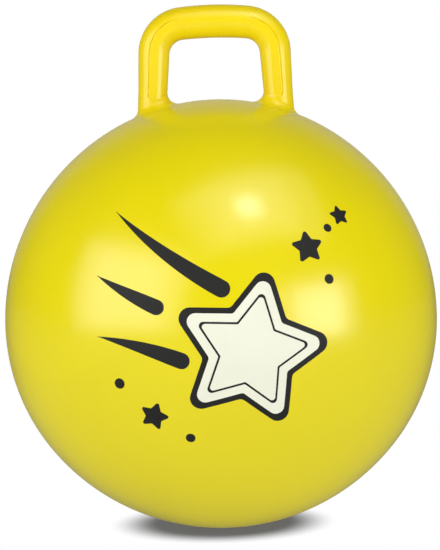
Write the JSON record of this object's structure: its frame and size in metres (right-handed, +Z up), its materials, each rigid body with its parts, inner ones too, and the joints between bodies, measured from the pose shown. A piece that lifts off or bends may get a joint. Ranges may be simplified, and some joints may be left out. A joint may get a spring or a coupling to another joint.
{
  "type": "hopper ball",
  "caption": "Inflatable vinyl hopper ball for children: a large yellow ball that rests on a small flat patch, with a looped hollow handle on top and a plugged air valve at the back.",
  "frame": {"origin": "centre of the flat patch that the ball rests on, at floor level", "axes": "+Z up through the handle, -Y out of the printed front, +X to the right for someone who looks at the front"},
  "size_m": [0.45, 0.45, 0.5431],
  "materials": {
    "ball_vinyl": "satin lemon yellow vinyl",
    "handle_vinyl": "glossy golden yellow vinyl",
    "seat_rubber": "matt yellow soft rubber",
    "plug_plastic": "satin white plastic"
  },
  "bodies": {
    "ball": {"ball_skin": "ball_vinyl", "handle": "handle_vinyl", "valve_seat": "seat_rubber"},
    "plug": {"valve_plug": "plug_plastic"}
  },
  "joints": [
    {"name": "plug_pull", "type": "slide", "parent": "ball", "child": "plug", "axis": [0, 0.9397, -0.342], "range_m": [0, 0.03]}
  ]
}
